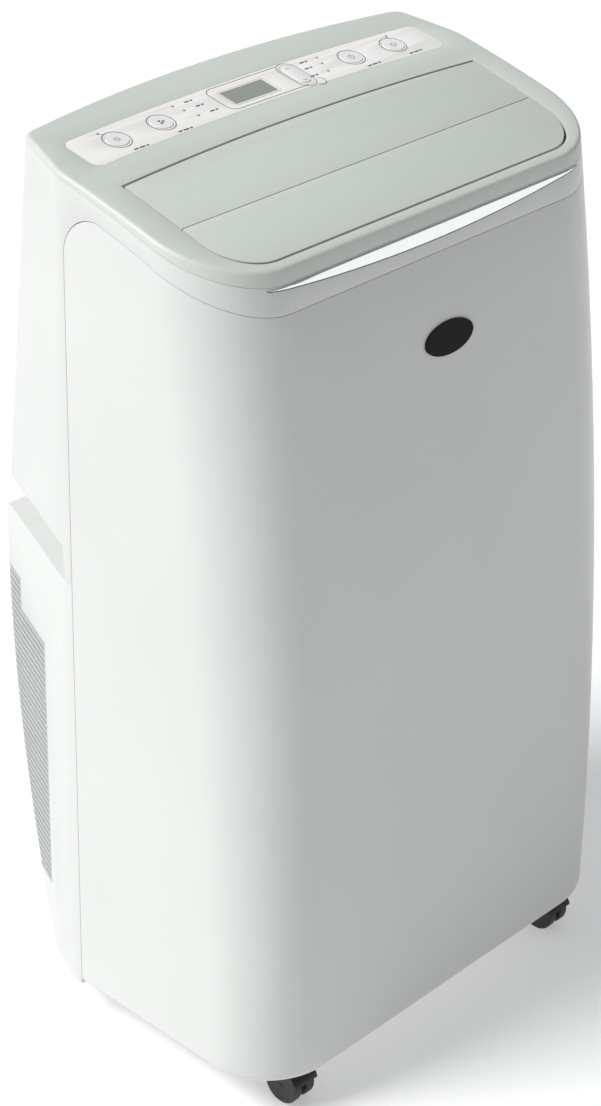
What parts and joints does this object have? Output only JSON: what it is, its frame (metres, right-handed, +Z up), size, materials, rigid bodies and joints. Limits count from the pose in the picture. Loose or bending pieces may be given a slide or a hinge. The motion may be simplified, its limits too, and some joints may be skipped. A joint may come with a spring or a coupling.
{
  "type": "portable air conditioner",
  "caption": "Tall white portable air conditioner on casters, with a grey top, twin tilting louver blades, a control strip, wrap-round rear grille and a rear exhaust spigot.",
  "frame": {"origin": "on the floor, at the centre of the footprint box", "axes": "+Z up, -Y is the front, +X is to the right seen from the front"},
  "size_m": [0.44, 0.381, 0.7835],
  "materials": {
    "white_shell": "satin moulded ABS, warm white",
    "grey_cover": "fine satin light grey",
    "grille_grey": "matt grey",
    "panel_white": "fine matt overlay",
    "lens": "grey display window",
    "led": "small light pipes",
    "circuit_board": "green board",
    "silicone": "soft translucent",
    "key_white": "matt keys",
    "motor_steel": "pressed steel",
    "duct_white": "natural moulding",
    "chrome": "bright plated trim",
    "badge_black": "blank black plate",
    "filter_grey": "fine mesh",
    "black_rubber": "matt rubber",
    "base_grey": "moulded base",
    "compressor_black": "black paint",
    "black_plastic": "black moulding",
    "fin_aluminium": "fin stock",
    "copper": "copper tube",
    "fan_black": "black moulding",
    "galvanised": "galvanised sheet",
    "screw_zinc": "zinc plated",
    "caster_black": "hard black tread"
  },
  "bodies": {
    "housing": {"accumulator": "compressor_black", "badge_plate": "badge_black", "base_tray": "base_grey", "chrome_trim": "chrome", "compressor": "compressor_black", "compressor_grommets": "black_rubber", "condenser_coil": "fin_aluminium", "condenser_scroll": "duct_white", "control_board": "circuit_board", "control_panel": "panel_white", "cord_hooks": "white_shell", "cord_inlet": "black_rubber", "display_board": "circuit_board", "display_lens": "lens", "drain_hose": "silicone", "drip_tray": "duct_white", "electrics_box": "galvanised", "evaporator_coil": "fin_aluminium", "evaporator_scroll": "duct_white", "exhaust_collar": "white_shell", "exhaust_duct": "duct_white", "fan_motors": "motor_steel", "front_cover": "white_shell", "handle_pockets": "base_grey", "housing_screws": "screw_zinc", "key_domes": "silicone", "led_lights": "led", "louver_motor": "motor_steel", "lower_grille": "grille_grey", "lower_rear_cover": "white_shell", "outlet_duct": "duct_white", "refrigerant_pipes": "copper", "shelf_frame": "galvanised", "terminal_cover": "black_plastic", "top_cover": "grey_cover", "upper_housing": "white_shell"},
    "louver_rear": {"louver_rear": "grey_cover"},
    "louver_front": {"louver_front": "grey_cover"},
    "louver_link": {"louver_link": "grey_cover"},
    "button_power": {"button_power": "key_white"},
    "button_timer": {"button_timer": "key_white"},
    "button_fan": {"button_fan": "key_white"},
    "button_mode": {"button_mode": "key_white"},
    "rocker_key": {"rocker_key": "key_white"},
    "intake_cassette": {"intake_grille": "white_shell", "intake_filter": "filter_grey"},
    "drain_cap_upper": {"drain_cap_upper": "black_rubber"},
    "drain_cap_lower": {"drain_cap_lower": "black_rubber"},
    "caster_fork_front_left": {"caster_fork_front_left": "black_plastic"},
    "caster_wheels_front_left": {"caster_wheels_front_left": "caster_black"},
    "caster_fork_front_right": {"caster_fork_front_right": "black_plastic"},
    "caster_wheels_front_right": {"caster_wheels_front_right": "caster_black"},
    "caster_fork_rear_left": {"caster_fork_rear_left": "black_plastic"},
    "caster_wheels_rear_left": {"caster_wheels_rear_left": "caster_black"},
    "caster_fork_rear_right": {"caster_fork_rear_right": "black_plastic"},
    "caster_wheels_rear_right": {"caster_wheels_rear_right": "caster_black"},
    "condenser_fan": {"condenser_fan": "fan_black"},
    "evaporator_fan": {"evaporator_fan": "fan_black"},
    "splash_wheel": {"splash_wheel": "fan_black"},
    "float_switch": {"float_switch": "key_white"}
  },
  "joints": [
    {"name": "louver_rear_tilt", "type": "hinge", "parent": "housing", "child": "louver_rear", "pos_m": [0, -0.03383, 0.74988], "axis": [-1, 0, 0], "range_deg": [0, 70]},
    {"name": "louver_front_tilt", "type": "hinge", "parent": "housing", "child": "louver_front", "pos_m": [0, -0.09155, 0.7344], "axis": [-1, 0, 0], "range_deg": [0, 70]},
    {"name": "louver_link_swing", "type": "hinge", "parent": "louver_rear", "child": "louver_link", "pos_m": [-0.2, -0.02483, 0.74888], "axis": [-1, 0, 0], "range_deg": [-70, 0]},
    {"name": "button_power_press", "type": "slide", "parent": "housing", "child": "button_power", "axis": [0, 0.1829, -0.9831], "range_m": [0, 0.0008], "stiffness_N_per_m": 600},
    {"name": "button_timer_press", "type": "slide", "parent": "housing", "child": "button_timer", "axis": [0, 0.1813, -0.9834], "range_m": [0, 0.0008], "stiffness_N_per_m": 600},
    {"name": "button_fan_press", "type": "slide", "parent": "housing", "child": "button_fan", "axis": [0, 0.1813, -0.9834], "range_m": [0, 0.0008], "stiffness_N_per_m": 600},
    {"name": "button_mode_press", "type": "slide", "parent": "housing", "child": "button_mode", "axis": [0, 0.1829, -0.9831], "range_m": [0, 0.0008], "stiffness_N_per_m": 600},
    {"name": "rocker_tilt", "type": "hinge", "parent": "housing", "child": "rocker_key", "pos_m": [0.043, 0.05019, 0.76911], "axis": [1, 0, 0], "range_deg": [-2.5, 2.5], "stiffness_Nm_per_rad": 0.5},
    {"name": "intake_pull", "type": "slide", "parent": "housing", "child": "intake_cassette", "axis": [0, 1, 0], "range_m": [0, 0.08]},
    {"name": "drain_cap_upper_pull", "type": "slide", "parent": "housing", "child": "drain_cap_upper", "axis": [0, 1, 0], "range_m": [0, 0.016]},
    {"name": "drain_cap_lower_pull", "type": "slide", "parent": "housing", "child": "drain_cap_lower", "axis": [0, 1, 0], "range_m": [0, 0.016]},
    {"name": "caster_swivel_front_left", "type": "hinge", "parent": "housing", "child": "caster_fork_front_left", "pos_m": [-0.164, -0.15, 0.036], "axis": [0, 0, 1], "continuous": true},
    {"name": "caster_roll_front_left", "type": "hinge", "parent": "caster_fork_front_left", "child": "caster_wheels_front_left", "pos_m": [-0.164, -0.162, 0.017], "axis": [1, 0, 0], "continuous": true},
    {"name": "caster_swivel_front_right", "type": "hinge", "parent": "housing", "child": "caster_fork_front_right", "pos_m": [0.164, -0.15, 0.036], "axis": [0, 0, 1], "continuous": true},
    {"name": "caster_roll_front_right", "type": "hinge", "parent": "caster_fork_front_right", "child": "caster_wheels_front_right", "pos_m": [0.164, -0.162, 0.017], "axis": [1, 0, 0], "continuous": true},
    {"name": "caster_swivel_rear_left", "type": "hinge", "parent": "housing", "child": "caster_fork_rear_left", "pos_m": [-0.164, 0.054, 0.036], "axis": [0, 0, 1], "continuous": true},
    {"name": "caster_roll_rear_left", "type": "hinge", "parent": "caster_fork_rear_left", "child": "caster_wheels_rear_left", "pos_m": [-0.164, 0.042, 0.017], "axis": [1, 0, 0], "continuous": true},
    {"name": "caster_swivel_rear_right", "type": "hinge", "parent": "housing", "child": "caster_fork_rear_right", "pos_m": [0.164, 0.054, 0.036], "axis": [0, 0, 1], "continuous": true},
    {"name": "caster_roll_rear_right", "type": "hinge", "parent": "caster_fork_rear_right", "child": "caster_wheels_rear_right", "pos_m": [0.164, 0.042, 0.017], "axis": [1, 0, 0], "continuous": true},
    {"name": "condenser_fan_spin", "type": "hinge", "parent": "housing", "child": "condenser_fan", "pos_m": [0, 0.044, 0.245], "axis": [0, 1, 0], "continuous": true},
    {"name": "evaporator_fan_spin", "type": "hinge", "parent": "housing", "child": "evaporator_fan", "pos_m": [0, -0.035, 0.598], "axis": [0, 1, 0], "continuous": true},
    {"name": "splash_wheel_spin", "type": "hinge", "parent": "housing", "child": "splash_wheel", "pos_m": [-0.095, 0.076, 0.074], "axis": [0, 1, 0], "continuous": true},
    {"name": "float_rise", "type": "slide", "parent": "housing", "child": "float_switch", "axis": [0, 0, 1], "range_m": [0, 0.018]}
  ],
  "couplings": [
    {"joint": "louver_front_tilt", "follows": "louver_rear_tilt", "ratio": 1},
    {"joint": "louver_link_swing", "follows": "louver_rear_tilt", "ratio": -1}
  ]
}
